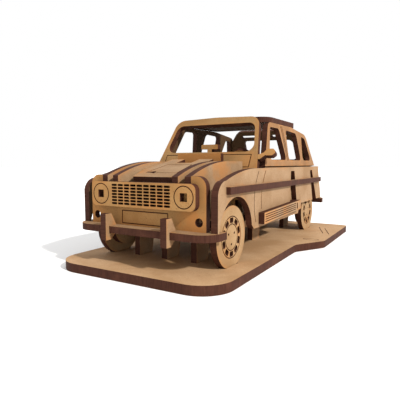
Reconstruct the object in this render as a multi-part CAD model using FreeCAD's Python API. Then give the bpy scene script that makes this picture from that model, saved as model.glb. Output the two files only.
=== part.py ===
"""Flat-pack model of a small hatchback car on a display base, cut from sheet.

Car frame used while drawing: X across the car (+X is the car's left), Y along
the car (+Y to the rear, 0 at the front axle), Z up (0 at the top of the base).
At the end every piece moves so that the origin sits below the middle of the box.
"""
import FreeCAD, Part
import math
import os

from FreeCAD import Vector

# ---- sheets and fits -------------------------------------------------------
SHEET = 3.0              # sheet that the car is cut from
BASE_SHEET = 4.0         # sheet that the display base is cut from
SLOT_FIT = 0.05          # slack on each side of a glued slot
RUN_FIT = 0.08           # radial slack of an axle in its holes
MOVE_GAP = 0.4           # space kept round the turning wheels
LINE_WIDTH = 0.45        # engraved line
LINE_DEPTH = 0.35

# ---- overall sizes ---------------------------------------------------------
WHEELBASE = 116.0
BODY_WIDTH = 72.0        # over the outer faces of the side panels
FRONT_OVERHANG = 18.75   # front axle to the front face of the front panel
REAR_OVERHANG = 22.4     # rear axle to the low rear corner of the side panels
BELT_Z = 42.3            # top of the side panels
GLASS_HEIGHT = 24.2      # height of the window panels, measured up their slope
LEAN_IN = 11.3           # window panels lean in by this many degrees

# ---- display base ----------------------------------------------------------
BASE_FRONT_MARGIN = 13.9   # base in front of the front panel
BASE_REAR_MARGIN = 6.0     # base behind the side panels
BASE_FRONT_WIDTH = 86.0
BASE_REAR_WIDTH = 108.0
BASE_STEP_START = 58.0     # from the rear axle forwards to the step in width
BASE_STEP_LENGTH = 19.0
BASE_CORNER = 14.0
BASE_REAR_CORNER = 4.0

# ---- wheels ----------------------------------------------------------------
WHEEL_R = 13.7
WHEEL_SINK = 1.1         # depth of the tyres in the slots of the base
HUB_R = 8.6
RIM_LINE_R = 9.05
CAP_LINE_R = 5.7
AXLE_D = 4.0
WHEEL_SLOTS = 10
WHEEL_SLOT_R = 7.35      # circle that the wheel slots stand on
WHEEL_SLOT_LONG = 3.3
WHEEL_SLOT_WIDE = 2.3
STUD_HOLES = 3
STUD_R = 3.1
STUD_D = 1.1

# ---- chassis ---------------------------------------------------------------
FLOOR_Z = 17.0           # underside of the floor
RAIL_X = 16.1            # centre of the outer rails, the overriders and inner ribs
RAIL_DEPTH = 8.0
RAIL_NOSE = 4.3          # rails start this far ahead of the front axle
RAIL_TAIL = 17.0         # and end this far behind the rear axle
LEG_LENGTH = 11.4
LEG_TAPER = 1.6
MIDDLE_LEG_Y = 57.5
LEG_TAB = 6.0
CROSS_WIDTH = 48.0
CROSS_OFFSET = 12.5      # cross members stand this far inside the axles
MIDDLE_CROSS_Y = 78.0
FLOOR_TAB = 6.0

# ---- front end -------------------------------------------------------------
FRONT_PANEL_WIDTH = 61.6
FRONT_PANEL_TOP = 39.2
FRONT_PANEL_DIP = 35.8   # top edge between the outer ribs
FRONT_PANEL_CORNER = 4.5
FOG_X = 27.5
FOG_Z = 20.8
FOG_R = 1.8
PLATE_WIDTH = 24.8       # engraved number plate outline
PLATE_LOW = 17.9
PLATE_HIGH = 23.5
RADIATOR_BAR = 1.6       # bar between the two openings behind the grille
RADIATOR_OUT = 14.2
RADIATOR_LOW = 26.2
RADIATOR_HIGH = 34.3
GRILLE_WIDTH = 55.4
GRILLE_LOW = 25.4
GRILLE_HIGH = 36.3
GRILLE_CORNER = 2.6
GRILLE_COLUMNS = 9
GRILLE_ROWS = 7
GRILLE_COLUMN_PITCH = 3.54
GRILLE_ROW_PITCH = 1.34
GRILLE_SLOT_LONG = 3.08
GRILLE_SLOT_HIGH = 0.95
HEADLAMP_X = 22.15
HEADLAMP_R = 4.5
HEADLAMP_HOLE = 3.4
BUMPER_PROUD = 0.6       # front bumper reaches past each side of the body by this much
BUMPER_FRONT = 6.25      # bumper edge ahead of the front panel
BUMPER_CORNER = 9.0
BUMPER_END = 2.6         # width of the bumper's swept-back ends
BUMPER_RETURN = 6.5      # how far the ends reach behind the front panel's face
OVERRIDER_PROUD = 2.0
OVERRIDER_LOW = 10.9
OVERRIDER_HIGH = 22.5
OVERRIDER_TOP = 3.6      # flat at the top and foot of an overrider
OVERRIDER_DEPTH = 6.6

# ---- bonnet ----------------------------------------------------------------
OUTER_RIB_X = 22.3
RIB_FRONT_Z = 38.9
RIB_MIDDLE_Y = -3.8
RIB_MIDDLE_Z = 43.4
RIB_BACK_Y = 12.0
RIB_BACK_Z = 45.3
RIB_END_Y = 29.6
RIB_LAP_Z = 30.0         # ribs and bulkhead are slotted into each other up to here
BONNET_FRONT_Y = -13.5
BONNET_FRONT_Z = 38.4
BONNET_WIDTH = 21.4
BONNET_BACK_WIDTH = 28.6
BONNET_BACK_Y = 12.6
BONNET_BACK_Z = 44.6
BONNET_TAB_IN = 4.3
BONNET_TAB_OUT = 12.3
BULGE_WIDTH = 17.2       # engraved outline on the bonnet panel
BULGE_BACK_WIDTH = 14.0
BULGE_START = 7.4        # from the front edge of the bonnet panel
BULGE_LENGTH = 15.5

# ---- bulkhead, windscreen and dashboard ------------------------------------
BULKHEAD_Y = 17.2
SHOULDER_Z = 36.0
COWL_WIDTH = 26.2
COWL_TOP = 49.4
SCREEN_FOOT_Y = 30.9     # front face of the windscreen frame at its foot
SCREEN_FOOT_Z = 41.2
SCREEN_RAKE = 29.0       # degrees from upright
SCREEN_LENGTH = 32.0
SCREEN_FOOT_IN = 4.9     # foot corners stand in from the body's sides by this much
SCREEN_TAPER = 5.5       # each side leans in by this much over the whole length
SCREEN_CROWN = 0.9
SCREEN_CORNER = 6.0
SCREEN_OPEN_LOW = 10.4
SCREEN_TOP_RAIL = 3.7
SCREEN_POST = 2.2
SCREEN_OPEN_CORNER = 4.4
DASH_WIDTH = 50.0
DASH_Z = 44.0
DASH_LENGTH = 13.0
MIRROR_BAR_WIDTH = 10.6
MIRROR_BAR_HEIGHT = 2.6
MIRROR_STEM_WIDTH = 2.8
MIRROR_X = -2.7
MIRROR_Y = 43.0
MIRROR_TOP = 54.8
DOOR_MIRROR_WIDTH = 5.4
DOOR_MIRROR_HEIGHT = 3.8
DOOR_MIRROR_REACH = 5.9
DOOR_MIRROR_RISE = 3.0
STEERING_X = 11.6
STEERING_Y = 54.5
STEERING_Z = 45.8
STEERING_R = 6.6
STEERING_RIM = 1.5
STEERING_TILT = 28.0     # column above level
COLUMN_D = 3.0

# ---- sides -----------------------------------------------------------------
ARCH_Y = -1.9
ARCH_Z = 14.4
ARCH_R = 16.0
SILL_Z = 14.2
TAIL_Z = 20.0            # low edge of the side panels over the rear wheels
SILL_END = 32.0          # from the rear axle forwards to the end of the low sill
NOSE_CORNER_Z = 32.0
NOSE_CORNER_REACH = 6.6
NOSE_TOP_Z = 37.4
WING_TOP_Y = 20.3
WING_TOP_Z = 42.0
TAIL_SLOPE = 9.6         # the rear edge leans forwards by this much at the belt
PILLAR_SLOT_Y = 68.5
PILLAR_SLOT_TOP = 7.0
PILLAR_SLOT_FOOT = 12.2
PILLAR_SLOT_LOW = 22.6
PILLAR_SLOT_HIGH = 40.0
TAIL_SLOT_BACK = 7.5     # tail slot's top, from the rear axle forwards
TAIL_SLOT_FOOT_BACK = -0.6
TAIL_SLOT_WIDE = 4.8
TAIL_SLOT_FOOT_WIDE = 9.8
TRIM_Z = 31.9
TRIM_PROUD = 1.9
TRIM_FRONT = 6.9         # behind the front panel's face
TRIM_REAR = 8.2          # ahead of the low rear corner
TRIM_TAB = 8.0
BOARD_Y = 21.8
BOARD_END = 36.0         # from the rear axle forwards
BOARD_LOW = 15.8
BOARD_HIGH = 21.2
BOARD_RISE = 1.7
BOARD_SLIT = 1.7
LINER_LOW = 22.0
LINER_REAR_LOW = 28.6
LINER_END = 6.5          # behind the rear axle

# ---- window panels ---------------------------------------------------------
GLASS_FRONT_Y = 36.8
GLASS_FRONT_LEAN = 15.4
GLASS_REAR = 13.9        # foot of the rear edge behind the rear axle
GLASS_REAR_LEAN = 9.8
GLASS_SHOULDER = 25.0    # where the roof line starts to fall, ahead of the rear axle
GLASS_FALL = 3.2
WINDOW_LOW = 3.4
WINDOW_TOP_RAIL = 2.6
DOOR_WINDOW_FRONT = 44.6
DOOR_WINDOW_LEAN = 9.2
DOOR_WINDOW_BACK = 72.0
PILLAR_B = 4.3
PILLAR_C = 4.2
QUARTER_FRONT = 12.0     # rear window's front foot, ahead of the rear axle
QUARTER_BACK = 7.0       # its rear foot, behind the rear axle
WINDOW_CORNER = 2.6

# ---- roof and tail ---------------------------------------------------------
ROOF_SIDE_IN = 0.2       # roof edge stands in from the tops of the window panels
ROOF_REAR = 18.0         # ahead of the rear axle
ROOF_CORNER = 7.0
ROOF_GAP = 0.5
TAIL_FRAME_RAKE = 26.3
TAIL_FRAME_LENGTH = 28.0
TAIL_SHOULDER = 19.4     # up the frame; over this it narrows to its crown
TAIL_CROWN = 19.5        # half width at the crown
TAIL_OPEN_LEFT = 22.3    # opening from the car's middle to the left and to the right
TAIL_OPEN_RIGHT = 15.9
TAIL_OPEN_LOW = 4.5
TAIL_OPEN_HIGH = 20.9
HEAD_SLOT_IN = 6.0
HEAD_SLOT_OUT = 17.0
HEAD_SLOT_LOW = 22.6
HEAD_SLOT_HIGH = 25.0
REAR_BUMPER_DROP = 0.4   # gap between the rear bumper and the side panels over it
REAR_BUMPER_WIDER = 2.0  # past each side of the body
REAR_BUMPER_PROUD = 4.6
REAR_BUMPER_CORNER = 7.0

# ---- derived ---------------------------------------------------------------
AXLE_Z = WHEEL_R - WHEEL_SINK
HALF = BODY_WIDTH / 2
SIDE_IN = HALF - SHEET
LINER_IN = SIDE_IN - SHEET
WHEEL_OUT = SIDE_IN - MOVE_GAP
WHEEL_IN = WHEEL_OUT - SHEET
HUB_IN = WHEEL_IN - SHEET
FRONT_Y = -FRONT_OVERHANG
PANEL_BACK_Y = FRONT_Y + SHEET
TAIL_Y = WHEELBASE + REAR_OVERHANG
FLOOR_TOP = FLOOR_Z + SHEET
REAR_BUMPER_Z = TAIL_Z - REAR_BUMPER_DROP - SHEET
BUMPER_Z = FLOOR_Z - SHEET
BASE_FRONT_Y = FRONT_Y - BASE_FRONT_MARGIN
BASE_REAR_Y = TAIL_Y + BASE_REAR_MARGIN
LEAN = math.radians(LEAN_IN)
LINER_TOP = BELT_Z
GLASS_FOOT_Z = LINER_TOP + SHEET * math.sin(LEAN)
WINDOW_HIGH = GLASS_HEIGHT - WINDOW_TOP_RAIL
FLOOR_REAR_Y = WHEELBASE + RAIL_TAIL
RAKE = math.radians(SCREEN_RAKE)
OUT_OF_SHEET = 1.0       # cutters run past the sheet by this much


# ---- drawing in the flat ---------------------------------------------------
def corner_tangents(before, corner, after, radius):
    """Both tangent points and the middle point of a rounded corner."""
    to_before = (before - corner).normalize()
    to_after = (after - corner).normalize()
    half_angle = to_before.getAngle(to_after) / 2
    reach = radius / math.tan(half_angle)
    bisector = (to_before + to_after).normalize()
    centre = corner + bisector * (radius / math.sin(half_angle))
    middle = centre - bisector * radius
    return corner + to_before * reach, middle, corner + to_after * reach


def closed_wire(points):
    """Closed wire through (a, b) or (a, b, corner radius) points."""
    corners = [Vector(point[0], point[1], 0) for point in points]
    radii = [point[2] if len(point) > 2 else 0 for point in points]
    starts, ends, arcs = [], [], []
    for index, corner in enumerate(corners):
        if radii[index] > 0:
            after = corners[(index + 1) % len(corners)]
            start, middle, end = corner_tangents(corners[index - 1], corner, after, radii[index])
            arcs.append(Part.Arc(start, middle, end).toShape())
            starts.append(start)
            ends.append(end)
        else:
            arcs.append(None)
            starts.append(corner)
            ends.append(corner)
    edges = []
    for index in range(len(corners)):
        if arcs[index] is not None:
            edges.append(arcs[index])
        target = starts[(index + 1) % len(corners)]
        if ends[index].distanceToPoint(target) > 1e-6:
            edges.append(Part.LineSegment(ends[index], target).toShape())
    return Part.Wire(edges)


def sheet_from(points, thickness=SHEET):
    """Sheet piece with the given outline, lying flat on Z = 0."""
    return Part.Face(closed_wire(points)).extrude(Vector(0, 0, thickness))


def cutter(points):
    """Cutter with the given outline that runs through any sheet."""
    solid = sheet_from(points, max(SHEET, BASE_SHEET) + 2 * OUT_OF_SHEET)
    solid.translate(Vector(0, 0, -OUT_OF_SHEET))
    return solid


def rectangle(a_low, b_low, a_high, b_high, radius=0):
    return [(a_low, b_low, radius), (a_high, b_low, radius),
            (a_high, b_high, radius), (a_low, b_high, radius)]


def round_cutter(a, b, radius):
    height = max(SHEET, BASE_SHEET) + 2 * OUT_OF_SHEET
    return Part.makeCylinder(radius, height, Vector(a, b, -OUT_OF_SHEET))


def bar_groove(start, end, thickness=SHEET):
    """Engraved straight line with round ends in the upper face of a sheet."""
    run = Vector(end[0] - start[0], end[1] - start[1], 0)
    bar = Part.makeBox(run.Length, LINE_WIDTH, LINE_DEPTH + OUT_OF_SHEET,
                       Vector(0, -LINE_WIDTH / 2, 0))
    bar.rotate(Vector(0, 0, 0), Vector(0, 0, 1), math.degrees(math.atan2(run.y, run.x)))
    bar.translate(Vector(start[0], start[1], thickness - LINE_DEPTH))
    ends = [Part.makeCylinder(LINE_WIDTH / 2, LINE_DEPTH + OUT_OF_SHEET,
                              Vector(point[0], point[1], thickness - LINE_DEPTH))
            for point in (start, end)]
    return bar.multiFuse(ends)


def line_groove(points, closed=False, thickness=SHEET):
    """Engraved line through the given points."""
    stops = points[1:] + points[:1] if closed else points[1:]
    bars = [bar_groove(start, end, thickness) for start, end in zip(points, stops)]
    return bars[0].multiFuse(bars[1:]) if len(bars) > 1 else bars[0]


def ring_groove(a, b, radius, thickness=SHEET):
    """Engraved circle in the upper face of a sheet."""
    depth = LINE_DEPTH + OUT_OF_SHEET
    place = Vector(a, b, thickness - LINE_DEPTH)
    outer = Part.makeCylinder(radius + LINE_WIDTH / 2, depth, place)
    return outer.cut(Part.makeCylinder(radius - LINE_WIDTH / 2, depth, place))


def arc_groove(start, middle, end, thickness=SHEET):
    """Engraved arc through three points, in the upper face of a sheet."""
    path = Part.Arc(*[Vector(a, b, thickness - LINE_DEPTH) for a, b in (start, middle, end)])
    edge = path.toShape()
    centre = edge.Curve.Center
    edges = []
    for shift in (-LINE_WIDTH / 2, LINE_WIDTH / 2):
        stretch = 1 + shift / edge.Curve.Radius
        points = [centre + (edge.valueAt(place) - centre) * stretch
                  for place in (edge.FirstParameter,
                                (edge.FirstParameter + edge.LastParameter) / 2,
                                edge.LastParameter)]
        edges.append((Part.Arc(*points).toShape(), points[0], points[2]))
    (inner, inner_start, inner_end), (outer, outer_start, outer_end) = edges
    wire = Part.Wire(Part.__sortEdges__([
        inner, Part.LineSegment(inner_end, outer_end).toShape(),
        outer, Part.LineSegment(outer_start, inner_start).toShape()]))
    return Part.Face(wire).extrude(Vector(0, 0, LINE_DEPTH + OUT_OF_SHEET))


def carve(solid, cutters):
    """Cut every cutter from the solid in one go."""
    return solid.cut(cutters) if cutters else solid


# ---- standing the flat pieces up -------------------------------------------
def stand_along(flat, x):
    """Sheet along the car: flat (a, b) becomes (Y, Z), its low face at x."""
    turn = FreeCAD.Rotation(FreeCAD.Matrix(0, 0, 1, 0, 1, 0, 0, 0, 0, 1, 0, 0, 0, 0, 0, 1))
    piece = flat.copy()
    piece.Placement = FreeCAD.Placement(Vector(x, 0, 0), turn)
    return piece


def stand_across(flat, y_front):
    """Sheet across the car: flat (a, b) becomes (X, Z), its upper face at y_front."""
    piece = flat.copy()
    turn = FreeCAD.Rotation(Vector(1, 0, 0), 90)
    piece.Placement = FreeCAD.Placement(Vector(0, y_front + SHEET, 0), turn)
    return piece


def lean_across(flat, y_foot, z_foot, rake):
    """Sheet across the car, leaning back by rake degrees from its front foot line."""
    piece = stand_across(flat, 0)
    piece.rotate(Vector(0, 0, 0), Vector(1, 0, 0), -rake)
    piece.translate(Vector(0, y_foot, z_foot))
    return piece


def lay_flat(flat, z):
    """Sheet lying flat: (a, b) stays (X, Y), its underside at z."""
    piece = flat.copy()
    piece.translate(Vector(0, 0, z))
    return piece


def mirrored(piece):
    """The same piece on the other side of the car."""
    return piece.mirror(Vector(0, 0, 0), Vector(1, 0, 0))


# ---- display base ----------------------------------------------------------
def leg_starts():
    """Front edges of the legs along a rail."""
    return [-RAIL_NOSE, MIDDLE_LEG_Y, WHEELBASE - RAIL_NOSE]


def rail_centres():
    return {"left": RAIL_X, "middle": 0.0, "right": -RAIL_X}


def tyre_slots():
    """Slots in the base that the tyres dip into."""
    half_chord = math.sqrt(WHEEL_R ** 2 - AXLE_Z ** 2) + MOVE_GAP + 0.4
    cuts = []
    for side in (-1, 1):
        for y in (0, WHEELBASE):
            near = side * (WHEEL_IN - MOVE_GAP)
            far = side * (WHEEL_OUT + MOVE_GAP)
            cuts.append(cutter(rectangle(min(near, far), y - half_chord,
                                         max(near, far), y + half_chord, 0.6)))
    return cuts


def leg_slots():
    """Slots in the base for the tabs under the legs."""
    cuts = []
    for x in rail_centres().values():
        for start in leg_starts():
            middle = start + (LEG_LENGTH - LEG_TAPER) / 2
            reach = LEG_TAB / 2 + SLOT_FIT
            cuts.append(cutter(rectangle(x - SHEET / 2 - SLOT_FIT, middle - reach,
                                         x + SHEET / 2 + SLOT_FIT, middle + reach)))
    return cuts


def base_ornament():
    """Plain engraved ornament at the left rear: two slanting bars and an oval."""
    x = BASE_REAR_WIDTH / 2 - 15
    y = WHEELBASE - 8
    bars = [bar_groove((x + k * 4.2, y + 17 - k * 2), (x + 8 + k * 4.2, y - 6 - k * 2), BASE_SHEET)
            for k in (0, 1)]
    oval = Part.makeCylinder(1, LINE_DEPTH + OUT_OF_SHEET)
    rings = []
    for grow in (0, -LINE_WIDTH):
        stretch = FreeCAD.Matrix()
        stretch.scale(4.6 + grow, 2.2 + grow, 1)
        rings.append(oval.transformGeometry(stretch))
    ring = rings[0].cut(rings[1])
    ring.translate(Vector(BASE_REAR_WIDTH / 2 - 8, WHEELBASE - 38, BASE_SHEET - LINE_DEPTH))
    return bars + [ring]


def base_plate():
    front = BASE_FRONT_WIDTH / 2
    rear = BASE_REAR_WIDTH / 2
    step_low = WHEELBASE - BASE_STEP_START
    step_high = step_low + BASE_STEP_LENGTH
    right = [(front, BASE_FRONT_Y, BASE_CORNER), (front, step_low, 9.0),
             (rear, step_high, 9.0), (rear, BASE_REAR_Y, BASE_REAR_CORNER)]
    left = [(-x, y, r) for x, y, r in reversed(right)]
    plate = sheet_from(right + left, BASE_SHEET)
    plate = carve(plate, base_ornament())
    plate = carve(plate, tyre_slots() + leg_slots())
    return lay_flat(plate, -BASE_SHEET)


# ---- chassis ---------------------------------------------------------------
def rail_flat():
    """Rail with three legs, tabs for the base and the floor, and axle holes."""
    low = FLOOR_Z - RAIL_DEPTH
    end = FLOOR_REAR_Y
    outline = [(-RAIL_NOSE, FLOOR_Z)]
    for start in leg_starts():
        if start > 0:
            outline.append((start, low, 2.0))
        foot_end = start + LEG_LENGTH - LEG_TAPER
        tab_low = start + (LEG_LENGTH - LEG_TAPER - LEG_TAB) / 2
        outline += [(start, 0), (tab_low, 0), (tab_low, -BASE_SHEET),
                    (tab_low + LEG_TAB, -BASE_SHEET), (tab_low + LEG_TAB, 0), (foot_end, 0),
                    (start + LEG_LENGTH, low, 2.0)]
    outline += [(end, low), (end, FLOOR_Z)]
    rail = sheet_from(outline)
    tabs = [sheet_from(rectangle(y - FLOOR_TAB / 2, FLOOR_Z - OUT_OF_SHEET,
                                 y + FLOOR_TAB / 2, FLOOR_TOP))
            for y in floor_tab_places()]
    rail = rail.multiFuse(tabs).removeSplitter()
    cuts = [round_cutter(y, AXLE_Z, AXLE_D / 2 + RUN_FIT) for y in (0, WHEELBASE)]
    half = SHEET / 2 + SLOT_FIT
    middle = FLOOR_Z - RAIL_DEPTH / 2
    cuts += [cutter(rectangle(y - half, middle, y + half, FLOOR_Z + OUT_OF_SHEET))
             for y in cross_places().values()]
    return carve(rail, cuts)


def floor_tab_places():
    """Middles of the tabs that hold the floor, along each rail."""
    return [28.0, WHEELBASE - 24.0]


def cross_places():
    return {"front": CROSS_OFFSET, "middle": MIDDLE_CROSS_Y, "rear": WHEELBASE - CROSS_OFFSET}


def cross_flat():
    """Cross member, notched from below to drop over the rails."""
    low = FLOOR_Z - RAIL_DEPTH
    middle = FLOOR_Z - RAIL_DEPTH / 2
    member = sheet_from(rectangle(-CROSS_WIDTH / 2, low, CROSS_WIDTH / 2, FLOOR_Z))
    half = SHEET / 2 + SLOT_FIT
    cuts = [cutter(rectangle(x - half, low - OUT_OF_SHEET, x + half, middle))
            for x in rail_centres().values()]
    return carve(member, cuts)


def floor_plate():
    narrow = HUB_IN - 2 * MOVE_GAP
    wide = LINER_IN
    gap = WHEEL_R + 2 * MOVE_GAP
    front_step = gap
    rear_step = WHEELBASE - gap
    right = [(narrow, PANEL_BACK_Y), (narrow, front_step, 1.0), (wide, front_step),
             (wide, rear_step), (narrow, rear_step, 1.0), (narrow, FLOOR_REAR_Y)]
    left = [(-point[0],) + tuple(point[1:]) for point in reversed(right)]
    plate = sheet_from(right + left)
    half = SHEET / 2 + SLOT_FIT
    reach = FLOOR_TAB / 2 + SLOT_FIT
    cuts = [cutter(rectangle(x - half, y - reach, x + half, y + reach))
            for x in rail_centres().values() for y in floor_tab_places()]
    return lay_flat(carve(plate, cuts), FLOOR_Z)


# ---- front end -------------------------------------------------------------
def front_panel():
    half = FRONT_PANEL_WIDTH / 2
    notch = OUTER_RIB_X + SHEET / 2 + SLOT_FIT
    right = [(half, FLOOR_Z), (half, FRONT_PANEL_TOP, FRONT_PANEL_CORNER),
             (notch, FRONT_PANEL_TOP), (notch, FRONT_PANEL_DIP)]
    left = [(-point[0],) + tuple(point[1:]) for point in reversed(right)]
    panel = sheet_from(right + left)
    cuts = [round_cutter(side * FOG_X, FOG_Z, FOG_R) for side in (-1, 1)]
    for side in (-1, 1):
        near, far = sorted((side * RADIATOR_BAR / 2, side * RADIATOR_OUT))
        cuts.append(cutter(rectangle(near, RADIATOR_LOW, far, RADIATOR_HIGH, 1.0)))
    plate = PLATE_WIDTH / 2
    cuts.append(line_groove([(-plate, PLATE_LOW), (plate, PLATE_LOW),
                             (plate, PLATE_HIGH), (-plate, PLATE_HIGH)], closed=True))
    return stand_across(carve(panel, cuts), FRONT_Y)


def grille_panel():
    half = GRILLE_WIDTH / 2
    panel = sheet_from(rectangle(-half, GRILLE_LOW, half, GRILLE_HIGH, GRILLE_CORNER))
    middle = (GRILLE_LOW + GRILLE_HIGH) / 2
    long, high = GRILLE_SLOT_LONG / 2, GRILLE_SLOT_HIGH / 2
    cuts = []
    for column in range(GRILLE_COLUMNS):
        x = (column - (GRILLE_COLUMNS - 1) / 2) * GRILLE_COLUMN_PITCH
        for row in range(GRILLE_ROWS):
            z = middle + (row - (GRILLE_ROWS - 1) / 2) * GRILLE_ROW_PITCH
            cuts.append(cutter(rectangle(x - long, z - high, x + long, z + high, high * 0.9)))
    hole = HEADLAMP_HOLE / 2
    for side in (-1, 1):
        x = side * HEADLAMP_X
        cuts.append(cutter(rectangle(x - hole, middle - hole, x + hole, middle + hole)))
        cuts.append(ring_groove(x, middle, HEADLAMP_R))
    return stand_across(carve(panel, cuts), FRONT_Y - SHEET)


def front_bumper():
    half = HALF + BUMPER_PROUD
    front = FRONT_Y - BUMPER_FRONT
    tip = FRONT_Y + BUMPER_RETURN
    inner = half - BUMPER_END
    back = -WHEEL_R - 2 * MOVE_GAP
    tongue = RAIL_X + SHEET + 2
    tongue_end = -RAIL_NOSE - SLOT_FIT
    right = [(half, front, BUMPER_CORNER), (half, tip), (inner, tip), (inner, back, 1.0),
             (tongue, back, 1.0), (tongue, tongue_end)]
    left = [(-point[0],) + tuple(point[1:]) for point in reversed(right)]
    plate = sheet_from(right + left)
    half_slot = SHEET / 2 + SLOT_FIT
    cuts = [cutter(rectangle(x - half_slot, front - OUT_OF_SHEET, x + half_slot,
                             front + OVERRIDER_PROUD))
            for x in (-RAIL_X, RAIL_X)]
    return lay_flat(carve(plate, cuts), BUMPER_Z)


def overrider_flat():
    """Overrider with a slot from behind that takes the bumper."""
    front = FRONT_Y - BUMPER_FRONT - OVERRIDER_PROUD
    back = front + OVERRIDER_DEPTH
    outline = [(front, OVERRIDER_LOW), (front + OVERRIDER_TOP - 0.6, OVERRIDER_LOW, 0.8),
               (back, BUMPER_Z - SLOT_FIT), (back, FLOOR_Z + SLOT_FIT),
               (front + OVERRIDER_TOP, OVERRIDER_HIGH, 0.8), (front, OVERRIDER_HIGH)]
    slot = rectangle(front + 2 * OVERRIDER_PROUD, BUMPER_Z - SLOT_FIT,
                     back + OUT_OF_SHEET, FLOOR_Z + SLOT_FIT)
    return carve(sheet_from(outline), [cutter(slot)])


# ---- bonnet ----------------------------------------------------------------
def rib_flat():
    """Bonnet rib: stands on the floor, its nose fills the dip of the front panel."""
    nose_low = FRONT_PANEL_DIP + SLOT_FIT
    corners = [(RIB_END_Y, RIB_BACK_Z), (RIB_END_Y, FLOOR_TOP), (PANEL_BACK_Y, FLOOR_TOP),
               (PANEL_BACK_Y, nose_low), (FRONT_Y, nose_low), (FRONT_Y, RIB_FRONT_Z)]
    points = [Vector(y, z, 0) for y, z in corners]
    edges = [Part.LineSegment(points[k], points[k + 1]).toShape() for k in range(len(points) - 1)]
    back = Vector(RIB_BACK_Y, RIB_BACK_Z, 0)
    edges.append(Part.Arc(points[-1], Vector(RIB_MIDDLE_Y, RIB_MIDDLE_Z, 0), back).toShape())
    edges.append(Part.LineSegment(back, points[0]).toShape())
    rib = Part.Face(Part.Wire(edges)).extrude(Vector(0, 0, SHEET))
    half = SHEET / 2 + SLOT_FIT
    middle = BULKHEAD_Y + SHEET / 2
    slot = rectangle(middle - half, FLOOR_TOP - OUT_OF_SHEET, middle + half, RIB_LAP_Z + SLOT_FIT)
    return carve(rib, [cutter(slot)])


def bonnet_slope():
    """Degrees that the bonnet panel rises to the rear."""
    return math.degrees(math.atan2(BONNET_BACK_Z - BONNET_FRONT_Z, BONNET_BACK_Y - BONNET_FRONT_Y))


def bonnet_length():
    return math.hypot(BONNET_BACK_Z - BONNET_FRONT_Z, BONNET_BACK_Y - BONNET_FRONT_Y)


def tilt_bonnet(flat, lift):
    """Lay a piece on the slope of the bonnet, its underside lift above the slope."""
    piece = flat.copy()
    piece.translate(Vector(0, 0, lift))
    piece.rotate(Vector(0, 0, 0), Vector(1, 0, 0), bonnet_slope())
    piece.translate(Vector(0, BONNET_FRONT_Y, BONNET_FRONT_Z))
    return piece


def bonnet_underside(y):
    """Height of the bonnet panel's underside at y."""
    slope = math.radians(bonnet_slope())
    return BONNET_FRONT_Z + (y - BONNET_FRONT_Y) * math.tan(slope) - SHEET / math.cos(slope)


def bonnet_panel():
    """Sloping panel between the inner ribs, with two tabs that lie on the bulkhead."""
    front = BONNET_WIDTH / 2
    back = min(BONNET_BACK_WIDTH / 2, RAIL_X - SHEET / 2 - SLOT_FIT)
    length = bonnet_length()
    slope = math.radians(bonnet_slope())
    end = length + (BULKHEAD_Y + SHEET - BONNET_BACK_Y) / math.cos(slope)
    right = [(front, 0, 1.0), (back, length * 0.45, 3.0), (back, length),
             (BONNET_TAB_OUT, length), (BONNET_TAB_OUT, end),
             (BONNET_TAB_IN, end), (BONNET_TAB_IN, length)]
    left = [(-point[0],) + tuple(point[1:]) for point in reversed(right)]
    wide, narrow = BULGE_WIDTH / 2, BULGE_BACK_WIDTH / 2
    far = BULGE_START + BULGE_LENGTH
    cuts = [line_groove([(wide, BULGE_START), (narrow, far), (-narrow, far),
                         (-wide, BULGE_START)], closed=True),
            cutter([(-wide, BULGE_START + 0.6), (-wide + 5.6, BULGE_START - 1.4),
                    (-wide + 4.2, BULGE_START + 2.6)])]
    return tilt_bonnet(carve(sheet_from(right + left), cuts), -SHEET)


# ---- bulkhead, windscreen and dashboard ------------------------------------
def bulkhead():
    """Plate across the car under the bonnet's rear edge, its shoulders lower at the sides."""
    wide = SIDE_IN
    middle = RAIL_X - SHEET / 2 - SLOT_FIT
    narrow = HUB_IN - 2 * MOVE_GAP
    step = AXLE_Z + WHEEL_R + 2 * MOVE_GAP
    top = bonnet_underside(BULKHEAD_Y) - SLOT_FIT
    right = [(narrow, FLOOR_TOP), (narrow, step), (wide, step), (wide, SHOULDER_Z),
             (middle, SHOULDER_Z), (middle, top)]
    left = [(-point[0],) + tuple(point[1:]) for point in reversed(right)]
    plate = sheet_from(right + left)
    half = SHEET / 2 + SLOT_FIT
    cuts = [cutter(rectangle(side * x - half, RIB_LAP_Z, side * x + half, top + OUT_OF_SHEET))
            for side in (-1, 1) for x in (RAIL_X, OUTER_RIB_X)]
    return stand_across(carve(plate, cuts), BULKHEAD_Y).cut(column_hole())


def cowl_plate():
    """Plate between the inner ribs, ahead of the windscreen; its top shows over the bonnet."""
    wide = RAIL_X - SHEET / 2 - SLOT_FIT
    cowl = COWL_WIDTH / 2
    right = [(wide, FLOOR_TOP + SLOT_FIT), (wide, RIB_BACK_Z - 1.0), (cowl, RIB_BACK_Z - 1.0),
             (cowl, COWL_TOP, 0.5)]
    left = [(-point[0],) + tuple(point[1:]) for point in reversed(right)]
    return stand_across(sheet_from(right + left), RIB_END_Y - SHEET).cut(column_hole())


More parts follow.
